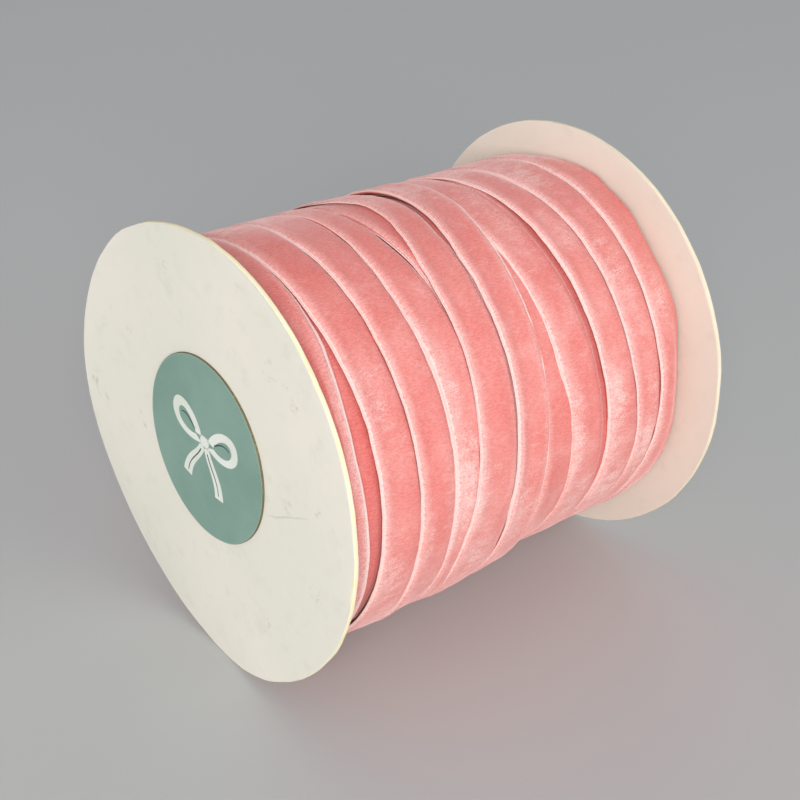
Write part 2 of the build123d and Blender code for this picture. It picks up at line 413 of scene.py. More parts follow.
def board_edge_material(name, light, dark, nicked):
    m, nt, b = material(name)
    n = N(nt)
    obj = n.coords("Object")
    strata = n.noise(n.scaled(obj, (120, 5200, 120)), 1.0, 3, 0.6)
    nick = n.noise(obj, 420.0, 3, 0.6)
    col = n.mix(n.remap(strata, 0.35, 0.7), srgb(*light), srgb(*dark))
    col = n.mix(n.remap(nick, 0.62, 0.8, 0.0, 0.5), col, srgb(*nicked))
    n.link(col, b.inputs["Base Color"])
    b.inputs["Roughness"].default_value = 0.85
    n.link(n.bump(strata, 0.5, 0.0001), b.inputs["Normal"])
    return m


def kraft_material(name="kraft", base=(176, 142, 104), dark=(140, 106, 74)):
    m, nt, b = material(name)
    n = N(nt)
    obj = n.coords("Object")
    fib = n.noise(n.scaled(obj, (1500, 500, 1500)), 1.0, 4, 0.65)
    cloud = n.noise(obj, 60.0, 4, 0.6)
    fleck = n.noise(obj, 900.0, 2, 0.5)
    col = n.mix(n.remap(cloud, 0.3, 0.7), srgb(*base), srgb(*[int(c * 0.9) for c in base]))
    col = n.mix(n.remap(fib, 0.45, 0.75, 0.0, 0.55), col, srgb(*dark))
    col = n.mix(n.remap(fleck, 0.68, 0.78, 0.0, 0.5), col, srgb(96, 70, 46))
    n.link(col, b.inputs["Base Color"])
    b.inputs["Roughness"].default_value = 0.88
    n.link(n.bump(fib, 0.4, 0.0001), b.inputs["Normal"])
    return m


def chipboard_material():
    m, nt, b = material("label_chipboard")
    n = N(nt)
    obj = n.coords("Object")
    strata = n.noise(n.scaled(obj, (200, 4200, 200)), 1.0, 4, 0.65)
    fleck = n.noise(obj, 1500.0, 2, 0.5)
    col = n.mix(n.remap(strata, 0.3, 0.7), srgb(126, 116, 84), srgb(92, 84, 60))
    col = n.mix(n.remap(fleck, 0.6, 0.75, 0.0, 0.6), col, srgb(168, 160, 126))
    n.link(col, b.inputs["Base Color"])
    b.inputs["Roughness"].default_value = 0.9
    n.link(n.bump(strata, 0.6, 0.00012), b.inputs["Normal"])
    return m


def label_material():
    m, nt, b = material("label_green")
    n = N(nt)
    obj = n.coords("Object")
    cloud = n.noise(obj, 70.0, 4, 0.55, 0.3)
    fine = n.noise(obj, 2600.0, 2, 0.6)
    fibre = n.noise(n.scaled(obj, (500, 500, 1500)), 1.0, 3, 0.6)
    sep = n.node("ShaderNodeSeparateXYZ")
    n.link(obj, sep.inputs[0])
    dx = n.math("SUBTRACT", sep.outputs[0], LABEL_X * MM)
    dz = n.math("SUBTRACT", sep.outputs[2], LABEL_Z * MM)
    rad = n.math("SQRT", n.math("ADD", n.math("MULTIPLY", dx, dx), n.math("MULTIPLY", dz, dz)))
    col = n.mix(n.remap(cloud, 0.3, 0.7), srgb(122, 155, 142), srgb(134, 164, 151))
    col = n.mix(n.remap(fibre, 0.5, 0.8, 0.0, 0.14), col, srgb(156, 178, 167))
    col = n.mix(n.remap(fine, 0.5, 0.75, 0.0, 0.10), col, srgb(92, 122, 110))
    # painted highlight: a thin paler ring round the label's edge
    rim = n.remap(rad, 0.02035, 0.0206)
    col = n.mix(n.math("MULTIPLY", rim, 0.15), col, srgb(196, 206, 190))
    n.link(col, b.inputs["Base Color"])
    n.link(n.remap(cloud, 0.3, 0.7, 0.42, 0.52), b.inputs["Roughness"])
    n.link(n.bump(n.math("ADD", fine, fibre), 0.18, 0.00004), b.inputs["Normal"])
    return m


def ink_material(name, a, c, rough):
    m, nt, b = material(name)
    n = N(nt)
    obj = n.coords("Object")
    speck = n.noise(obj, 1400.0, 3, 0.6)
    cloud = n.noise(obj, 160.0, 3, 0.5)
    col = n.mix(n.remap(cloud, 0.3, 0.7), srgb(*a), srgb(*c))
    col = n.mix(n.remap(speck, 0.62, 0.8, 0.0, 0.25), col, srgb(150, 172, 160))
    n.link(col, b.inputs["Base Color"])
    n.link(n.remap(speck, 0.3, 0.7, rough, rough + 0.12), b.inputs["Roughness"])
    return m


def glue_material():
    m, nt, b = material("dried_glue")
    n = N(nt)
    obj = n.coords("Object")
    cloud = n.noise(obj, 300.0, 3, 0.6)
    col = n.mix(n.remap(cloud, 0.3, 0.7), srgb(226, 216, 186), srgb(198, 182, 146))
    n.link(col, b.inputs["Base Color"])
    n.link(n.remap(cloud, 0.3, 0.7, 0.25, 0.45), b.inputs["Roughness"])
    n.link(n.bump(cloud, 0.5, 0.0002), b.inputs["Normal"])
    return m


def tape_material():
    m, nt, b = material("clear_tape_film")
    n = N(nt)
    obj = n.coords("Object")
    haze = n.noise(n.scaled(obj, (220, 700, 220)), 1.0, 3, 0.6)
    fine = n.noise(obj, 1800.0, 2, 0.5)
    n.link(n.mix(n.remap(haze, 0.35, 0.7), srgb(244, 240, 232), srgb(226, 220, 208)), b.inputs["Base Color"])
    n.link(n.remap(haze, 0.3, 0.7, 0.10, 0.24), b.inputs["Roughness"])
    b.inputs["Alpha"].default_value = 0.26
    b.inputs["IOR"].default_value = 1.47
    n.link(n.bump(n.math("ADD", haze, n.math("MULTIPLY", fine, 0.2)), 0.25, 0.0001), b.inputs["Normal"])
    return m


LABEL_X, LABEL_Z = 0.1, 1.2
CREASE = (-0.397, 0.0132, 0.0205, 0.0365)
SCUFFS = [(32.5, 24.1, 1.6), (37.1, -15.4, 1.9), (29.5, 27.5, 1.2), (-28.8, 17.8, 1.5), (-39.4, 15.9, 1.3), (20.0, -32.0, 2.0), (-12.0, 38.0, 1.6), (38.5, 4.0, 1.4)]
VELVET = velvet_material()
GROUND = velvet_back_material()
CARD_FRONT = card_material("card_white_front", srgb(230, 227, 214), srgb(210, 208, 194), srgb(236, 230, 218), 0.8, True)
# a darker copy of the white card for the flanges' inner faces: the darkening is painted shade from the winding
CARD_IN_SHADED = card_material("card_white_inside_shaded", srgb(226, 219, 205), srgb(209, 201, 187), srgb(232, 223, 209), 0.3, False, 0.11)
CARD_REAR = card_material("card_white_rear", srgb(230, 227, 214), srgb(210, 208, 194), srgb(236, 231, 219), 0.7, False, 0.37)
BOARD_FRONT = board_edge_material("board_edge_front", (252, 244, 206), (236, 222, 172), (214, 192, 140))
BOARD_REAR = board_edge_material("board_edge_rear", (244, 232, 204), (230, 214, 180), (206, 184, 146))
KRAFT = kraft_material()
KRAFT_IN = kraft_material("kraft_liner", (190, 158, 120), (154, 120, 86))
CHIP = chipboard_material()
LABEL = label_material()
GLUE = glue_material()
TAPE = tape_material()
PAPER_TAPE = kraft_material("paper_tape", (214, 188, 140), (188, 158, 110))
INK_WHITE = ink_material("ink_offwhite", (236, 238, 230), (224, 228, 218), 0.5)
INK_DARK = ink_material("ink_dark_green", (44, 66, 58), (56, 78, 70), 0.4)


# ------------------------------------------------------------------ flanges
def flange_shape(side):
    """Rim radius change and warp of a card flange at 360 whole degrees, in mm."""
    a = np.arange(360.0)
    if side == "front":
        knots = [(-30, 0.0), (0, 0.0), (30, 0.0), (60, -0.3), (90, -0.9), (110, -0.6), (130, -0.3), (150, -0.7),
                 (170, -0.95), (190, -0.55), (210, 0.6), (230, 1.15), (250, 1.1), (270, 0.5), (284, -0.75),
                 (300, -0.8), (315, -0.4), (330, 0.0), (360, 0.0), (390, 0.0)]
        rims = [(-30, 0.0), (60, 0.0), (80, -0.5), (107, -1.35), (125, -0.35), (140, 0.0), (200, 0.0), (235, -0.45),
                (255, -0.35), (275, 0.2), (300, 0.3), (330, 0.1), (390, 0.0)]
        seed = 3
    else:
        knots = [(-30, 0.1), (30, 0.3), (80, 0.1), (130, -0.25), (180, 0.15), (230, -0.2), (280, 0.2), (330, 0.1), (390, 0.3)]
        rims = [(-30, 0.1), (60, 0.15), (150, 0.0), (240, -0.1), (330, 0.1), (420, 0.15)]
        seed = 8
    q = np.arange(-30.0, 390.0)
    warp = blur(np.interp(q, *zip(*knots)), 6)[30:390]
    rim = blur(np.interp(q, *zip(*rims)), 6)[30:390]
    rim = rim + 0.05 * field((360,), (3,), seed, True) + 0.02 * field((360,), (0.8,), seed + 1, True)
    return rim, warp


def rim_weight(r):
    return np.clip((np.asarray(r, float) - 20.0) / 30.0, 0, 1) ** 2.6


def disc_layer(name, side, y_in, y_out, r_out, edge_seed, mats, edge_bulge=0.0):
    """One layer of a flange, from y_in (towards the ribbon) to y_out, as a closed mesh."""
    rim, warp = flange_shape(side)
    ang = np.radians(np.arange(360.0))
    radii = [15.06, 16.5, 19, 22, 26, 30, 34, 38, 41, 44, 46.5, 48.3, 49.2, 49.65]
    fuzz = 0.02 * field((360,), (1.2,), edge_seed, True)
    dent = 0.06 * field((360, len(radii)), (9, 1.2), edge_seed + 5, True)
    cols = []
    sign = 1 if y_out > y_in else -1
    for j, r in enumerate(radii):
        cols.append((np.full(360, r) + rim * (r / R) ** 3, y_in + warp * rim_weight(r) + dent[:, j] * rim_weight(r) * 0.6))
    w_rim = rim_weight(R)
    t = abs(y_out - y_in)
    k = min(0.25 * t, 0.12)
    edge = [(r_out - k, 0.0), (r_out - 0.3 * k, 0.3 * k), (r_out + edge_bulge, t * 0.5), (r_out - 0.3 * k, t - 0.3 * k), (r_out - k, t)]
    for er, ey in edge:
        cols.append((er + rim + fuzz, y_in + sign * ey + warp * w_rim))
    for j in range(len(radii) - 1, -1, -1):
        r = radii[j]
        cols.append((np.full(360, r) + rim * (r / R) ** 3, y_out + warp * rim_weight(r) + dent[:, j] * rim_weight(r) * 0.6))
    n = len(cols)
    verts = np.zeros((360, n, 3))
    for j, (rr, yy) in enumerate(cols):
        verts[:, j, 0] = rr * np.cos(ang)
        verts[:, j, 2] = rr * np.sin(ang)
        verts[:, j, 1] = yy
    faces = loop_grid_faces(360, n, closed_along=True)
    if sign < 0:
        faces = [f[::-1] for f in faces]
    mat_idx = np.zeros(len(faces), np.int32)
    if len(mats) > 1:
        for i in range(360):
            for j in range(len(radii), len(radii) + len(edge) - 1):
                mat_idx[i * n + j] = 1
    ob = new_object(name, verts.reshape(-1, 3), faces, mats, mat_idx, sharp_deg=50)
    return ob


def make_flange(side):
    s = -1 if side == "front" else 1
    y0 = s * INNER_Y
    face = CARD_FRONT if side == "front" else CARD_REAR
    inner = disc_layer(f"{side}_card_inner_paper", side, y0, y0 + s * 0.15, 49.94, 21 if s < 0 else 31, [CARD_IN_SHADED])
    board = disc_layer(f"{side}_card_board", side, y0 + s * 0.15, y0 + s * 0.85, 50.0, 22 if s < 0 else 32, [BOARD_FRONT if s < 0 else BOARD_REAR], 0.04)
    outer = disc_layer(f"{side}_card_outer_paper", side, y0 + s * 0.85, y0 + s * 1.0, 49.93, 23 if s < 0 else 33, [face])
    for ob, node, slot in ((inner, f"{side}_flange_inner_liner", "flange_liner"), (board, f"{side}_flange_board", "flange_board"), (outer, f"{side}_flange_outer_liner", "flange_liner")):
        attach(ob, "spool")
        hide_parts(node)


make_flange("front")
make_flange("rear")

# ------------------------------------------------------------------ ribbon layout
# Edge positions along the axis, as shares of the flange radius, at these angles
# round the axis (90 is the top, 0 faces +X).
PHI = [110, 100, 90, 80, 70, 60, 50, 40, 30, 20, 10, 0, -10, -20, -30, -40]
EDGE = {
    "A": ([-0.985] * 16,
          [-0.83, -0.83, -0.83, -0.83, -0.828, -0.820, -0.827, -0.846, -0.862, -0.870, -0.867, -0.858, -0.85, -0.843, -0.84, -0.84]),
    "B": ([-0.828, -0.827, -0.825, -0.822, -0.82, -0.817, -0.811, -0.805, -0.80, -0.797, -0.795, -0.795, -0.796, -0.798, -0.80, -0.805], None),
    "C": ([-0.615, -0.62, -0.623, -0.62, -0.616, -0.614, -0.613, -0.611, -0.609, -0.607, -0.604, -0.601, -0.599, -0.599, -0.60, -0.60], None),
    "D": ([-0.405, -0.41, -0.416, -0.422, -0.43, -0.433, -0.433, -0.43, -0.425, -0.42, -0.417, -0.417, -0.42, -0.422, -0.422, -0.42],
          [-0.25, -0.31, -0.297, -0.285, -0.275, -0.262, -0.25, -0.238, -0.228, -0.222, -0.218, -0.218, -0.22, -0.222, -0.222, -0.22]),
    "E": ([-0.255, -0.205, -0.168, -0.178, -0.205, -0.232, -0.243, -0.245, -0.255, -0.27, -0.285, -0.298, -0.32, -0.35, -0.36, -0.35],
          [-0.055, -0.012, -0.004, -0.012, -0.032, -0.048, -0.054, -0.058, -0.066, -0.075, -0.087, -0.10, -0.12, -0.15, -0.16, -0.15]),
    "F": ([0.022, 0.02, 0.015, 0.007, -0.012, -0.033, -0.041, -0.047, -0.053, -0.06, -0.07, -0.08, -0.088, -0.092, -0.092, -0.088],
          [0.222, 0.219, 0.212, 0.20, 0.183, 0.168, 0.156, 0.146, 0.136, 0.126, 0.116, 0.107, 0.10, 0.095, 0.092, 0.095]),
    "G": ([0.14, 0.145, 0.15, 0.158, 0.165, 0.173, 0.182, 0.19, 0.197, 0.205, 0.214, 0.225, 0.235, 0.243, 0.25, 0.252],
          [0.33, 0.335, 0.345, 0.355, 0.363, 0.371, 0.377, 0.383, 0.389, 0.396, 0.404, 0.412, 0.42, 0.426, 0.43, 0.432]),
    "H": ([0.34, 0.355, 0.374, 0.392, 0.405, 0.415, 0.425, 0.432, 0.439, 0.448, 0.458, 0.469, 0.478, 0.478, 0.466, 0.455], None),
    "I": ([0.54, 0.552, 0.566, 0.58, 0.592, 0.602, 0.606, 0.609, 0.613, 0.62, 0.632, 0.648, 0.664, 0.674, 0.67, 0.66], None),
    "J": ([0.79, 0.795, 0.80, 0.80, 0.80, 0.796, 0.791, 0.788, 0.786, 0.786, 0.789, 0.79, 0.788, 0.78, 0.775, 0.775],
          [0.985] * 16),
}
ORDER = "ABCDEFGHIJ"


TUCK = 0.017                # how far a covered edge runs under the next turn
for _a, _b in zip("ABCDEFGHI", "BCDEFGHIJ"):
    _l, _r = EDGE[_a]
    _nl = EDGE[_b][0]
    if _a == "A":       # covered only over the top; lower down the gap is open
        _r = [nl + TUCK if p > 75 else (nl + 0.006 if p > 65 else r) for p, r, nl in zip(PHI, _r, _nl)]
    elif _a == "D":     # runs under the turn below where that one is seen, and under the next turn elsewhere
        _r = [(-0.295 if p > 95 else r) + TUCK if p > 45 else nl + TUCK for p, r, nl in zip(PHI, _r, _nl)]
    elif _a == "G":     # a narrow gap on the side, closed over the top and below
        _r = [min(nl + TUCK - (TUCK + 0.019) * float(smooth(p, 0, 18) * smooth(-p, -92, -78)), l + 0.218) for p, l, nl in zip(PHI, _l, _nl)]
    elif _a == "E":     # stands clear of the next turn over the top
        _r = [nl - 0.3 * (nl - r) if p > 65 else nl + TUCK for p, r, nl in zip(PHI, _r, _nl)]
    elif _a != "F":
        _r = [nl + TUCK for nl in _nl]
    EDGE[_a] = (_l, _r)


def run_edges(theta):
    """Left and right edge (mm) of the top run at continuous angles theta (turn*360 + angle)."""
    tx, l, r = [], [], []
    for k, name in enumerate(ORDER):
        le, re = EDGE[name]
        for p, a, b in sorted(zip(PHI, le, re if re else [x + 0.2 for x in le])):
            tx.append(360 * k + p)
            l.append(a)
            r.append(b)
        if name == "E":     # it swings back slowly behind the top
            for p, a, b in ((121, -0.268, -0.010), (137, -0.266, -0.012), (165, -0.235, 0.005), (210, -0.19, 0.032)):
                tx.append(360 * k + p)
                l.append(a)
                r.append(b)
    tx = [-150.0] + tx + [360 * 9 + 140.0, 360 * 9 + 240.0]
    l = [-0.985] + l + [0.786, 0.786]
    r = [-0.80] + r + [0.986, 0.986]
    return pchip(tx, l, theta) * R, pchip(tx, r, theta) * R


# Radius at which the pile meets the rear flange, by angle: it dips where the turns were pulled in.
REAR_ROLL = [(-60, 42.2), (-43, 42.2), (-33, 41.8), (-23, 41.4), (-12, 40.6), (-3, 39.6), (8, 39.5), (17, 40.4), (25, 41.2),
             (33, 41.3), (43, 40.8), (52, 41.4), (60, 42.4), (70, 42.5), (76, 43.2), (85, 42.8), (100, 42.0), (130, 41.9),
             (200, 42.2), (250, 41.9), (300, 42.2)]


# Extra fullness low down on that side, where the turns sag, by y as a share of the flange radius.
LOW_FULL = [(-0.9, 0.0), (-0.72, 0.5), (-0.62, 1.0), (-0.5, 0.7), (-0.38, 0.95), (-0.28, 1.5), (-0.2, 1.65), (-0.08, 1.4),
            (0.06, 1.0), (0.16, 0.0), (0.24, -0.2), (0.36, -0.15), (0.46, 0.1), (0.6, 0.1), (0.8, 0.0)]


def pile_radius(y, phi):
    """Radius of the pile's surface at y (mm) and phi (degrees): the winding is a little fuller low at the label end."""
    y = np.asarray(y, float) / R
    w = (1 + np.cos(np.radians(np.asarray(phi, float) + 50))) / 2
    r = 43.5 + 0.35 * w + (0.25 + 1.05 * w) * smooth(-y, 0.0, 0.75) - (0.15 + 0.7 * w) * smooth(y, 0.0, 0.6)
    d = (np.asarray(phi, float) + 47 + 180) % 360 - 180
    r = r + np.exp(-0.5 * (d / 20.0) ** 2) * np.interp(y, [a for a, _ in LOW_FULL], [b for _, b in LOW_FULL])
    p = (np.asarray(phi, float) + 60) % 360 - 60
    low = np.interp(p, [a for a, _ in REAR_ROLL], [b for _, b in REAR_ROLL])
    return r - (r - low) * smooth(y, 0.84, 0.985) ** 1.3


def knots(theta, default, per_turn):
    """A value along the run: default, changed where a turn gives (angle, value) pairs."""
    tx, v = [], []
    for k, name in enumerate(ORDER):
        pairs = per_turn.get(name, [(-40, 0.5 * default), (-15, 0.8 * default), (10, default), (50, default), (100, 0.85 * default)])
        for p, a in sorted(pairs):
            tx.append(360 * k + p)
            v.append(a)
    order = np.argsort(tx)
    return pchip(np.array(tx, float)[order], np.array(v, float)[order], theta)


LIFT_L = {
    "A": [(-60, 1.5), (0, 1.6), (60, 1.5), (110, 1.4)],
    "B": [(-40, 0.2), (-10, 0.35), (30, 0.4), (48, 0.25), (62, 0.12), (75, 0.12), (110, 0.15)],
    "E": [(-60, 0.15), (-40, 0.2), (-20, 0.28), (0, 0.3), (30, 0.4), (50, 0.65), (70, 0.8), (85, 0.95), (100, 0.9), (120, 0.6), (200, 0.4)],
    "F": [(-60, 0.05), (-40, 0.1), (-15, 0.35), (0, 0.55), (50, 0.7), (80, 0.8), (100, 0.7), (130, 0.5)],
    "G": [(-40, 0.1), (0, 0.1), (35, 0.12), (56, 0.2), (70, 0.0), (110, 0.0)],
    "H": [(-60, 0.0), (-40, 0.02), (-10, 0.08), (15, 0.2), (40, 0.42), (60, 0.5), (90, 0.35), (105, 0.25)],
    "J": [(-40, 0.15), (20, 0.3), (60, 0.3), (100, 0.2), (140, 0.0), (240, 0.0)],
}
LIFT_R = {
    "A": [(-60, 0.1), (45, 0.1), (64, 0.05), (80, -0.25), (110, -0.35)],
    "D": [(-60, -0.1), (30, -0.12), (50, -0.25), (70, -0.42), (110, -0.42)],
    "F": [(-40, 0.0), (40, 0.05), (58, 0.15), (70, 0.45), (100, 0.55), (130, 0.5), (200, 0.0)],
    "G": [(-40, -0.1), (0, -0.1), (15, -0.15), (75, -0.2), (95, -0.4), (110, -0.4)],
    "J": [(-40, 0.0), (100, 0.0), (140, 0.0), (240, 0.0)],
}
LIFT_C = {
    "E": [(-40, 0.15), (-10, 0.15), (30, 0.1), (60, 0.15), (80, 0.22), (100, 0.25), (130, 0.2), (200, 0.1)],
    "F": [(-40, 0.05), (0, 0.1), (60, 0.1), (100, 0.15), (140, 0.1)],
}
# Where the whole width of a woven selvedge shows, 1, and where the pile covers all but its rim, 0.
WIDE_L = {"D": [(-40, 0.9), (35, 1.0), (50, 0.5), (60, 0.0)], "G": [(-40, 0.3), (-5, 0.8), (35, 0.9), (55, 0.0)], "H": [(-40, 0.5), (0, 0.5), (20, 0.0)]}
WIDE_R = {"A": [(-40, 1.3), (30, 1.3), (50, 0.9), (62, 0.0)]}
# How pale each turn's right selvedge is; a left one is always fully pale. Where it is below 1, the right part of the
# turn also gets painted shade.
RIM_R = {"A": 1.0, "D": 0.35, "E": 0.6, "F": 0.95, "G": 0.1, "J": 0.0}

# Lighter places on the pile: brushed patches, and painted sheen in rows along the top (about 95 to 104 degrees) and the
# bottom (about -30 to -5 degrees) of the winding. Each gives y and angle of the middle, half sizes, strength.
NAP_AND_SHEEN = [
    (-0.36, 1, 0.05, 9, 1.05), (-0.735, -20, 0.05, 8, 0.55), (0.51, 6, 0.035, 7, 1.0), (0.27, -6, 0.03, 14, 0.75),
    (0.86, 31, 0.04, 5, 0.5), (0.55, 57, 0.05, 4, 0.2), (0.52, -12, 0.05, 12, 0.5),
    (0.74, -15, 0.05, 9, 0.95), (0.35, -25, 0.05, 8, 0.6), (0.55, -25, 0.06, 8, 0.9), (-0.23, -28, 0.06, 8, 0.65),
    (0.64, 86, 0.06, 7, 0.6), (0.69, 42, 0.05, 12, 0.35), (0.13, -22, 0.06, 8, 0.5), (-0.03, -18, 0.05, 9, 0.55), (-0.28, -4, 0.03, 12, 0.5),
    (-0.55, -12, 0.02, 8, 0.3), (-0.72, 32, 0.05, 8, 0.35), (0.66, 96, 0.1, 5, 0.4), (0.1, 95, 0.08, 7, 0.5),
    (-0.1, 97, 0.05, 5, 0.5), (-0.37, 22, 0.03, 10, 0.45), (0.75, 5, 0.05, 8, 0.3), (0.30, 72, 0.05, 8, 0.3),
    (-0.5, 104, 0.12, 5, 0.5), (0.45, 103, 0.12, 5, 0.5), (-0.75, 103, 0.1, 5, 0.45), (0.8, 99, 0.08, 6, 0.35),
]
_r = np.random.default_rng(77)
for _ in range(46):     # the same kind of marks on the side away from the label's right
    NAP_AND_SHEEN.append((_r.uniform(-0.95, 0.95), _r.uniform(118, 312), _r.uniform(0.03, 0.09), _r.uniform(5, 16), _r.uniform(0.3, 0.9)))


def nap_and_sheen_at(y, phi):
    p = (np.asarray(phi, float) + 180) % 360 - 180
    # painted sheen along the bottom (about -38 degrees) and the top (about 108 degrees) of every turn
    out = 0.11 * np.exp(-0.5 * ((p + 38) / 14) ** 2) + 0.07 * np.exp(-0.5 * ((p - 108) / 10) ** 2)
    out = out * np.ones(np.broadcast(y, phi).shape)
    for y0, p0, dy, dp, s in NAP_AND_SHEEN:
        d = (np.asarray(phi) - p0 + 180) % 360 - 180
        out = np.maximum(out, s * np.exp(-0.5 * ((y / R - y0) / dy) ** 2 - 0.5 * (d / dp) ** 2))
    return out


_half = np.array([0, .006, .015, .026, .034, .042, .05, .06, .075, .095, .12, .155, .20, .27, .36, .45])
S_TOP = np.concatenate([_half, 1 - _half[::-1]])
S_BOT = np.array([.985, .90, .72, .5, .28, .10, .015])


def pile_height(s, wide):
    """Height of the top face over the ribbon's underside, mm: flat woven selvedges and a raised pile."""
    d = np.minimum(s, 1 - s) * RIBBON_W
    selvedge = 0.12 + 0.17 * smooth(d, 0.0, 0.1) - 0.03 * np.exp(-0.5 * ((d - 0.44 - 0.5 * wide) / 0.07) ** 2)
    t = np.clip((d - 0.36 - 0.5 * wide) / (1.05 - 0.1 * wide), 0, 1)
    pile = (RIBBON_T - 0.29) * (t * t * (3 - 2 * t)) ** 0.8
    return selvedge + pile


def ribbon_mesh(name, theta, y_l, y_r, base, lift_l, lift_r, lift_c, seed, turns_uv=0.0, cap=(True, True), override=None, rim_r=None, wide=None, nap_and_sheen_on=1.0, painted_shade_on=None):
    """A strip of velvet ribbon. base(y, phi) gives the radius of its underside; lifts are in mm."""
    n = len(theta)
    cols = np.concatenate([S_TOP, S_BOT])
    top = np.concatenate([np.ones(len(S_TOP), bool), np.zeros(len(S_BOT), bool)])
    phi = np.asarray(theta) % 360.0
    S = np.broadcast_to(cols, (n, len(cols)))
    ragged = 0.05 * field((n,), (1.5,), seed) + 0.03 * field((n,), (0.6,), seed + 1)
    ragged_r = 0.05 * field((n,), (1.5,), seed + 2) + 0.03 * field((n,), (0.6,), seed + 3)
    yl, yr = y_l + ragged, y_r + ragged_r
    Y = yl[:, None] + (yr - yl)[:, None] * S
    P = np.broadcast_to(phi[:, None], Y.shape)
    under = base(Y, P)
    under = under + lift_c[:, None]
    under = under + lift_l[:, None] * smooth(1 - S, 0.62, 1.02) + lift_r[:, None] * smooth(S, 0.62, 1.02)
    wave = 0.10 * field((n, len(cols)), (11, 3), seed + 4) + 0.05 * field((n, len(cols)), (4, 2), seed + 5)
    under = under + wave * 0.8
    if override is not None:
        target, w = override
        under = under * (1 - w[:, None]) + target * w[:, None]
    pile = 0.022 * field((n, len(cols)), (0.7, 0.5), seed + 6) + 0.03 * field((n, len(cols)), (2.5, 1.0), seed + 7)
    W = np.zeros(Y.shape)
    if wide is not None:
        W = np.where(S < 0.5, wide[0][:, None], wide[1][:, None])
    h = np.where(top, pile_height(S, W) + pile * smooth(np.minimum(S, 1 - S) * RIBBON_W, 0.5, 1.5), 0.0)
    rr = under + h
    rad = np.radians(P)
    verts = np.stack([rr * np.cos(rad), Y, rr * np.sin(rad)], -1).reshape(-1, 3)
    m = len(cols)
    faces = loop_grid_faces(n, m)
    faces = [f[::-1] for f in faces]
    mat = np.tile(np.array([0] * (len(S_TOP) - 1) + [1] * (m - len(S_TOP) + 1)), n - 1)
    # caps as one polygon round each end section
    nt, nb = len(S_TOP), len(S_BOT)
    for which, on in ((0, cap[0]), (n - 1, cap[1])):
        if not on:
            continue
        loop = [which * m + j for j in range(m)]
        faces.append(tuple(loop if which == 0 else loop[::-1]))
        mat = np.append(mat, 1)
    arc = np.radians(np.asarray(theta)) * 43.6
    uv = np.stack([np.repeat(arc, m), np.tile(cols, n)], 1)
    nap_and_sheen = (nap_and_sheen_at(Y, P) * np.broadcast_to(np.asarray(nap_and_sheen_on, float).reshape(-1, 1), Y.shape)).ravel()
    rim, painted_shade = np.ones((n, m)), np.zeros((n, m))
    if rim_r is not None:
        rim = 1 + (rim_r[:, None] - 1) * smooth(cols, 0.45, 0.55)[None, :]
        # painted shade on the right part of a turn, as far as its right selvedge is not pale
        painted_shade = (1 - rim_r[:, None]) * smooth(cols, 0.74, 0.93)[None, :]
    # painted shade given along the run is added on top
    if painted_shade_on is not None:
        painted_shade = np.maximum(painted_shade, painted_shade_on[:, None] * (1 - 0.6 * W))
    return new_object(name, verts, faces, [VELVET, GROUND], mat, uv=uv, attrs={"nap_and_sheen": nap_and_sheen, "rim": rim.ravel(), "painted_shade": painted_shade.ravel(), "wide": W.ravel()}, sharp_deg=70)


def top_base(y, phi):
    return pile_radius(y, phi) - RIBBON_T


# the last layer, from its start at the label end to where the free end lifts off
TAIL_START = 360 * 9 + 128
theta_top = np.arange(-120.0, TAIL_START + 0.7, 1.4)
yl, yr = run_edges(theta_top)
lift_l = knots(theta_top, 0.24, LIFT_L)
lift_r = knots(theta_top, -0.42, LIFT_R)
lift_c = knots(theta_top, 0.0, LIFT_C)
_, warp_front = flange_shape("front")
w44 = warp_front * rim_weight(44.5)
first = (theta_top < 200)
idx = (theta_top.astype(int)) % 360
yl = np.where(first, np.maximum(yl, -49.45 + np.maximum(w44[idx], 0) + 0.05), yl)
lift_c = lift_c - 0.9 * (1 - smooth(theta_top, -120, -70))      # the layer starts under the first turn's level


def painted_shade_tone(theta):
    """Painted shade, as a redder pile: the first turns where they run down beside the flange and over the top, later
    turns over the top, the second and third turns where the light falls strongest, and every turn low down at about -44
    degrees.
    """
    t = np.asarray(theta, float)
    a = 0.8 * smooth(t, -150, -60) * (1 - smooth(t, 60, 90))
    for k, at, amount in ((0, 74, 0.5), (1, 80, 0.6), (2, 84, 0.55), (3, 74, 0.15)):
        a = np.maximum(a, amount * np.exp(-0.5 * ((t - 360 * k - at) / 16.0) ** 2))
    for k, at, amount in ((1, 36, 0.34), (2, 38, 0.26), (3, 96, 0.3), (4, 70, 0.16), (5, 95, 0.3), (6, 98, 0.3), (8, 84, 0.2)):
        a = np.maximum(a, amount * np.exp(-0.5 * ((t - 360 * k - at) / 13.0) ** 2))
    a = np.maximum(a, 0.22 * np.exp(-0.5 * (((t + 44 + 180) % 360 - 180) / 13.0) ** 2))
    return a


def rim_right(theta):
    vals = np.array([RIM_R.get(c, 0.15) for c in ORDER])
    k = np.clip((np.asarray(theta) + 145) / 360.0, 0, 9)
    i = np.minimum(k.astype(int), 8)
    f = smooth(k - i, 0.9, 1.0)
    return vals[i] * (1 - f) + vals[i + 1] * f


def tail_override(theta):
    t = theta - 360 * 9
    return 43.08, smooth(t, 104, 136)


top_run = ribbon_mesh("ribbon_top_turns", theta_top, yl, yr, top_base, lift_l, lift_r, lift_c, 101, override=tail_override(theta_top), rim_r=rim_right(theta_top),
                      wide=(knots(theta_top, 0.0, WIDE_L), knots(theta_top, 0.0, WIDE_R)), nap_and_sheen_on=smooth(theta_top, 70, 130), painted_shade_on=painted_shade_tone(theta_top))
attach(top_run, "spool")
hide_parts("ribbon_outer_layer")

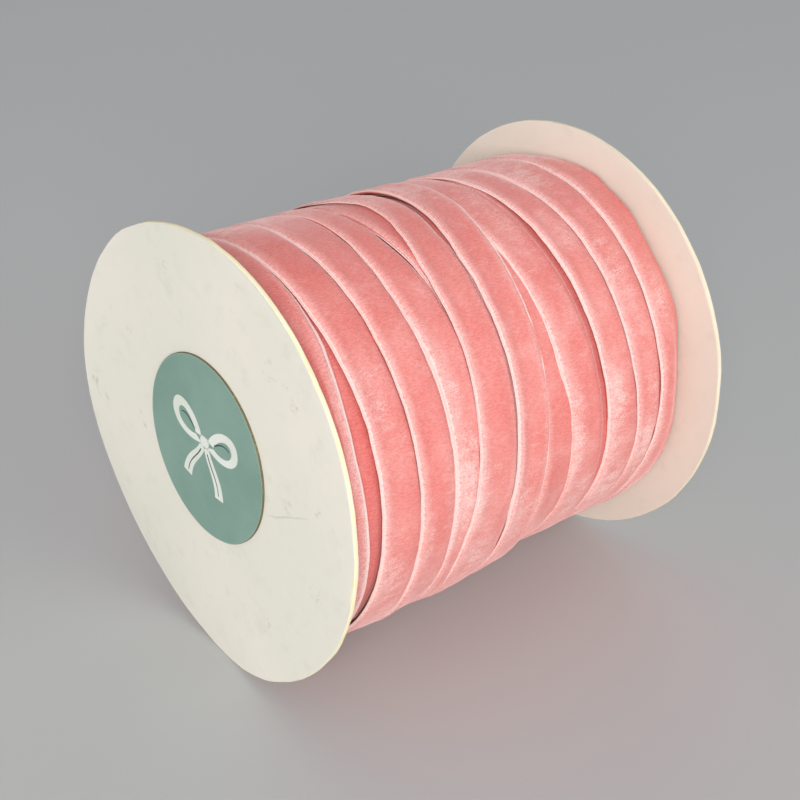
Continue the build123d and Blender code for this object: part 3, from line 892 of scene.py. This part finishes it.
# the free end, from there to its cut end
theta_tail = np.arange(float(theta_top[-1]), 360 * 9 + 215.5, 1.0)
ylt, yrt = run_edges(theta_tail)
cut = smooth(theta_tail - 360 * 9, 205, 215.5)
tail = ribbon_mesh("ribbon_free_end", theta_tail, ylt, yrt, top_base, knots(theta_tail, 0.24, LIFT_L), knots(theta_tail, -0.42, LIFT_R),
                   knots(theta_tail, 0.0, LIFT_C), 301, override=tail_override(theta_tail), rim_r=rim_right(theta_tail))
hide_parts("ribbon_tail")


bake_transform(tail)

# the layer under it, seen in the gaps between turns
UNDER_L = [-0.955, -0.755, -0.60, -0.445, -0.245, -0.13, 0.085, 0.36, 0.53, 0.68, 0.785]
UNDER_X = [(110, -0.30), (100, -0.295), (90, -0.275), (80, -0.265), (70, -0.252), (60, -0.24), (50, -0.235), (0, -0.235), (-40, -0.235)]
tx, tl = [-150.0], [-0.985]
for k, v in enumerate(UNDER_L):
    pts = UNDER_X if k == 4 else [(p, v) for p in (110, 60, 0, -40)]
    for p, a in sorted(pts):
        tx.append(360 * k + p)
        tl.append(a)
theta_u = np.arange(-120.0, 360 * 10 + 120.5, 1.6)
ul = pchip(tx, tl, theta_u) * R


def under_base(y, phi):
    return pile_radius(y, phi) - 2 * RIBBON_T - 0.06


# this layer stands a little proud in the open gap and below the seventh turn, and is sunk beside the label end
under_c = (0.55 * smooth(theta_u - 1440, 35, 60) * smooth(1440 - theta_u, -150, -118)
           + 0.45 * smooth(theta_u - 2160, -70, -45) * smooth(2160 - theta_u, -75, -50)
           + 0.42 * smooth(theta_u - 2520, -80, -55) * smooth(2520 - theta_u, 10, 40)
           - 0.45 * smooth(theta_u - 2520, -10, 15) * smooth(2520 - theta_u, -85, -60)
           - 0.3 * smooth(430 - theta_u, 0, 20))
# painted shade on the under layer seen in the gaps: reddened all over, less where it stands proud, more where it is
# sunk
under_painted_shade = (0.65 - 0.15 * smooth(theta_u - 1440, -40, 20) * smooth(1440 - theta_u, -150, -118)
              - 0.5 * smooth(theta_u - 2160, -110, -60) * smooth(2160 - theta_u, -85, -50)
              + 0.35 * smooth(theta_u - 2520, -30, 0) * smooth(2520 - theta_u, -90, -60)
              + 0.35 * smooth(470 - theta_u, 0, 60))
under_run = ribbon_mesh("ribbon_under_turns", theta_u, ul, np.minimum(ul + RIBBON_W, 49.4), under_base,
                        np.full(len(theta_u), 0.28), -0.4 + 0.35 * smooth(theta_u - 2160, -85, -60) * smooth(2160 - theta_u, -60, -35), under_c, 501,
                        rim_r=np.zeros(len(theta_u)), nap_and_sheen_on=np.zeros(len(theta_u)), painted_shade_on=under_painted_shade)
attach(under_run, "spool")
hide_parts("ribbon_under_layer")


# the wound mass below, a closed roll with a groove between its turns
def winding_core():
    n_phi, n_y = 240, 200
    phi = np.arange(n_phi) * 360.0 / n_phi
    y = np.linspace(-49.4, 49.4, n_y)
    P, Y = np.meshgrid(phi, y, indexing="ij")
    frac = ((Y + 49.4) / 9.88 + P / 360.0) % 1.0
    groove = 0.35 * (np.exp(-0.5 * (frac / 0.05) ** 2) + np.exp(-0.5 * ((1 - frac) / 0.05) ** 2))
    outer = under_base(Y, P) - 0.25 - groove + 0.05 * field(P.shape, (4, 3), 611, True)
    cols = []
    for rr in (15.3, 20.0, 26.0, 32.0, 37.0):
        cols.append((np.full(n_phi, rr), np.full(n_phi, -49.4) + 0.08 * field((n_phi,), (5,), int(rr), True)))
    for j in range(n_y):
        cols.append((outer[:, j], np.full(n_phi, y[j])))
    for rr in (37.0, 32.0, 26.0, 20.0, 15.3):
        cols.append((np.full(n_phi, rr), np.full(n_phi, 49.4) - 0.08 * field((n_phi,), (5,), int(rr) + 50, True)))
    m = len(cols)
    v = np.zeros((n_phi, m, 3))
    a = np.radians(phi)
    for j, (rr, yy) in enumerate(cols):
        v[:, j, 0], v[:, j, 1], v[:, j, 2] = rr * np.cos(a), yy, rr * np.sin(a)
    faces = [f[::-1] for f in loop_grid_faces(n_phi, m, closed_along=True)]
    uv = np.stack([np.repeat(np.radians(phi) * 41, m), np.tile(np.linspace(0, 1, m), n_phi)], 1)
    # painted shade all over the inner roll, at half strength
    ob = new_object("ribbon_inner_roll", v.reshape(-1, 3), faces, [VELVET], uv=uv, attrs={"nap_and_sheen": np.zeros(n_phi * m), "rim": np.zeros(n_phi * m), "wide": np.zeros(n_phi * m), "painted_shade": np.full(n_phi * m, 0.5)}, sharp_deg=50)
    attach(ob, "spool")
    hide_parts("ribbon_inner_winding")
    return ob


winding_core()


# ------------------------------------------------------------------ core tube
def tube_ply():
    """Inner ply of the tube, spirally wound: its edges meet in a fine helical groove."""
    n_phi, n_y = 200, 150
    phi = np.arange(n_phi) * 360.0 / n_phi
    y = np.linspace(-HALF_W + 0.02, HALF_W - 0.02, n_y)
    P, Y = np.meshgrid(phi, y, indexing="ij")
    turn = (P / 360.0 + Y / 52.0) % 1.0
    d = np.minimum(turn, 1 - turn) * 52.0 * 0.84
    r_in = 13.0 + 0.16 * np.exp(-0.5 * (d / 0.45) ** 2) + 0.02 * field(P.shape, (5, 5), 71, True)
    cols = [(r_in[:, j], np.full(n_phi, y[j])) for j in range(n_y)]
    cols += [(np.full(n_phi, 13.38), np.full(n_phi, y[j])) for j in range(n_y - 1, -1, -6)]
    cols += [(np.full(n_phi, 13.38), np.full(n_phi, y[0]))]
    m = len(cols)
    v = np.zeros((n_phi, m, 3))
    a = np.radians(phi)
    for j, (rr, yy) in enumerate(cols):
        v[:, j, 0], v[:, j, 1], v[:, j, 2] = rr * np.cos(a), yy, rr * np.sin(a)
    faces = loop_grid_faces(n_phi, m, closed_along=True)
    ob = new_object("core_liner_ply", v.reshape(-1, 3), faces, [KRAFT_IN], sharp_deg=50)
    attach(ob, "spool")
    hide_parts("core_tube_inner_ply")


tube_ply()


# ------------------------------------------------------------------ label motif
Y_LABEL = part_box("label_face")[0][1] / MM


def print_shape(name, loops, mat, thick=0.03, lift=0.004):
    """Thin printed ink shapes, as closed films on the label. loops are lists of (x, z) in mm round the label's middle."""
    bm = bmesh.new()
    for pts in loops:
        low = [bm.verts.new(((x + LABEL_X) * MM, (Y_LABEL - lift) * MM, (z + LABEL_Z) * MM)) for x, z in pts]
        high = [bm.verts.new(((x + LABEL_X) * MM, (Y_LABEL - lift - thick) * MM, (z + LABEL_Z) * MM)) for x, z in pts]
        bm.faces.new(low)
        bm.faces.new(high[::-1])
        for i in range(len(pts)):
            j = (i + 1) % len(pts)
            bm.faces.new((low[i], high[i], high[j], low[j]))
    bmesh.ops.recalc_face_normals(bm, faces=bm.faces)
    me = bpy.data.meshes.new(name)
    bm.to_mesh(me)
    bm.free()
    me.materials.append(mat)
    ob = bpy.data.objects.new(name, me)
    scene.collection.objects.link(ob)
    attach(ob, "spool")
    return ob


def bezier(p0, p1, p2, p3, n=14):
    t = np.linspace(0, 1, n)[:, None]
    p0, p1, p2, p3 = (np.array(p, float) for p in (p0, p1, p2, p3))
    return (1 - t) ** 3 * p0 + 3 * (1 - t) ** 2 * t * p1 + 3 * (1 - t) * t * t * p2 + t ** 3 * p3


def turned(pts, deg, dx=0.0, dz=0.0, size=1.22):
    c, s = size * math.cos(math.radians(deg)), size * math.sin(math.radians(deg))
    return [(x * c - z * s + dx, x * s + z * c + dz) for x, z in pts]


def stroke(pts, w0, w1=None):
    """An outline of even or tapering width round a line."""
    pts = np.array(pts, float)
    w1 = w0 if w1 is None else w1
    d = np.gradient(pts, axis=0)
    d /= np.linalg.norm(d, axis=1)[:, None] + 1e-9
    nrm = np.stack([-d[:, 1], d[:, 0]], 1)
    w = np.linspace(w0, w1, len(pts))[:, None] / 2
    return [tuple(p) for p in pts + nrm * w] + [tuple(p) for p in (pts - nrm * w)[::-1]]


def bow():
    tilt = -8
    # each loop is a band with an open middle, so it reads as folded ribbon
    outer = np.vstack([bezier((0.9, 0.6), (3.4, 5.6), (9.4, 6.6), (9.9, 2.6)), bezier((9.9, 2.6), (10.2, -0.8), (5.2, -2.6), (0.9, -0.7))[1:]])
    inner = np.vstack([bezier((2.7, 0.45), (4.5, 3.6), (7.7, 4.3), (8.1, 2.2)), bezier((8.1, 2.2), (8.2, 0.4), (5.4, -0.9), (2.7, 0.1))[1:]])
    k = min(len(outer), len(inner))
    loops = []
    for sgn in (1, -1):
        o = [(sgn * x, z) for x, z in outer]
        i = [(sgn * x, z) for x, z in inner]
        for a in range(k - 1):       # the band as quads, so that the middle stays open
            loops.append(turned([o[a], o[a + 1], i[a + 1], i[a]], tilt, 0, 1.8))
    loops.append(turned([(-1.15, 0.95), (1.15, 0.95), (1.3, 0), (1.15, -1.05), (-1.15, -1.05), (-1.3, 0)], tilt, 0, 1.8))
    for sgn in (1, -1):
        line = bezier((sgn * 0.6, -1.1), (sgn * 1.6, -4.0), (sgn * 4.6, -5.4), (sgn * 4.9, -9.2), 18)
        band = stroke(line, 1.5, 2.5)
        loops.append(turned(band, tilt, 0, 1.8))
    return loops


print_shape("label_print_bow", bow(), INK_WHITE)
curls = [turned(stroke(bezier((x0, z0), (x1, z1), (x2, z2), (x3, z3), 20), 0.28, 0.16), -8, 0, 1.8)
         for x0, z0, x1, z1, x2, z2, x3, z3 in (
             (3.0, 0.9, 4.6, 2.3, 6.2, 2.9, 7.3, 2.2), (-3.0, 0.9, -4.6, 2.3, -6.2, 2.9, -7.3, 2.2),
             (1.0, -2.0, 2.0, -4.3, 4.3, -5.6, 4.7, -8.6), (-1.0, -2.0, -2.0, -4.3, -4.3, -5.6, -4.7, -8.6))]
print_shape("label_print_folds", curls, INK_DARK, lift=0.036)


# ------------------------------------------------------------------ tape on the free end
def tape_piece():
    phis = np.linspace(206.5, 219.0, 34)
    ys = np.linspace(28.3, 49.3, 64)
    P, Y = np.meshgrid(phis, ys, indexing="ij")
    over = 43.08 + RIBBON_T + 0.16
    side = smooth(Y, 37.6, 39.9)
    end = 1 - smooth(P, 214.8, 216.6)
    low = pile_radius(Y, P) + 0.22
    rr = low + (over - low) * np.minimum(side * end + 0.0, 1.0)
    rr = np.maximum(rr, low) + 0.05 * field(P.shape, (4, 5), 881)
    rag = 0.35 * (np.arange(34) % 2)          # the serrated edge that a dispenser leaves
    n, m = P.shape
    Y = Y.copy()
    Y[:, 0] += rag
    Y[:, -1] -= rag * 0.0
    a = np.radians(P)
    top = np.stack([(rr + 0.06) * np.cos(a), Y, (rr + 0.06) * np.sin(a)], -1).reshape(-1, 3)
    bot = np.stack([rr * np.cos(a), Y, rr * np.sin(a)], -1).reshape(-1, 3)
    faces = []
    off = n * m
    for i in range(n - 1):
        for j in range(m - 1):
            q = (i * m + j, (i + 1) * m + j, (i + 1) * m + j + 1, i * m + j + 1)
            faces.append(q[::-1])
            faces.append(tuple(off + x for x in q))
    ring = [i * m for i in range(n)] + [(n - 1) * m + j for j in range(1, m)] + [i * m + m - 1 for i in range(n - 2, -1, -1)] + [j for j in range(m - 2, 0, -1)]
    for i in range(len(ring)):
        p, q = ring[i], ring[(i + 1) % len(ring)]
        faces.append((p, q, off + q, off + p))
    ob = new_object("clear_tape_strip", np.vstack([top, bot]), faces, [TAPE], sharp_deg=60)
    bm = bmesh.new()
    bm.from_mesh(ob.data)
    bmesh.ops.recalc_face_normals(bm, faces=bm.faces)
    bm.to_mesh(ob.data)
    bm.free()
    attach(ob, "free_end")
    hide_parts("tail_tape")


tape_piece()

# ------------------------------------------------------------------ carried-over nodes
for node, mat in (
    ("core_tube_board", KRAFT), ("core_tube_outer_ply", KRAFT), ("front_glue_bead", GLUE), ("rear_glue_bead", GLUE),
    ("label_card", CHIP), ("label_face", LABEL), ("start_tape", PAPER_TAPE),
):
    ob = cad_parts[node]
    ob.data.materials.clear()
    ob.data.materials.append(mat)

# ------------------------------------------------------------------ camera
az, el = math.radians(51.1), math.radians(27.4)
RM = R * MM
back = Vector((math.sin(az) * math.cos(el), -math.cos(az) * math.cos(el), math.sin(el)))
right = Vector((math.cos(az), math.sin(az), 0))
up = back.cross(right)
cam_data = bpy.data.cameras.new("camera")
cam = bpy.data.objects.new("camera", cam_data)
scene.collection.objects.link(cam)
cam.location = back * (6.98 * RM) - right * (-0.007 * RM) - up * (0.072 * RM)
cam.rotation_mode = "QUATERNION"
cam.rotation_quaternion = (-back).to_track_quat("-Z", "Y")
cam_data.sensor_width = 36.0
cam_data.lens = 1550.0 / 800.0 * 36.0
cam_data.clip_start, cam_data.clip_end = 0.01, 20.0
scene.camera = cam


# ------------------------------------------------------------------ floor and light
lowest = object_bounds()[0].z
me = bpy.data.meshes.new("floor")
me.from_pydata([(-4, -4, lowest), (4, -4, lowest), (4, 4, lowest), (-4, 4, lowest)], [], [(0, 1, 2, 3)])
floor = bpy.data.objects.new("floor", me)
scene.collection.objects.link(floor)
fm, fnt, fb = material("floor_pale")
fn = N(fnt)
fcol = fn.mix(fn.noise(fn.coords("Object"), 3.0, 3, 0.5), (0.50, 0.50, 0.495, 1), (0.54, 0.54, 0.535, 1))
fn.link(fcol, fb.inputs["Base Color"])
fb.inputs["Roughness"].default_value = 0.9
me.materials.append(fm)

world = bpy.data.worlds.new("world")
scene.world = world
world.use_nodes = True
# a white room, dimmer overhead
wn = N(world.node_tree)
wsep = wn.node("ShaderNodeSeparateXYZ")
wn.link(wn.coords("Generated"), wsep.inputs[0])
wcol = wn.mix(wn.remap(wsep.outputs[2], 0.05, 0.9), (0.68, 0.69, 0.71, 1), (0.33, 0.34, 0.36, 1))
wn.link(wcol, world.node_tree.nodes["Background"].inputs[0])
world.node_tree.nodes["Background"].inputs[1].default_value = 1.0


def area(name, loc, target, size, watts, colour=(1, 1, 1)):
    d = bpy.data.lights.new(name, "AREA")
    d.shape = "SQUARE"
    d.size = size
    d.energy = watts
    d.color = colour
    o = bpy.data.objects.new(name, d)
    scene.collection.objects.link(o)
    o.location = loc
    o.rotation_mode = "QUATERNION"
    o.rotation_quaternion = (Vector(loc) - Vector(target)).to_track_quat("Z", "Y")
    return o


area("key", (1.16, -0.94, 0.60), (0, 0, 0), 0.75, 21.3, (1.0, 0.988, 0.97))
area("back", (-1.3, 1.3, 0.9), (0, 0, 0), 0.9, 3.2)
area("side", (1.5, 0.55, 0.35), (0, 0, 0), 0.8, 3.4, (1.0, 0.98, 0.96))
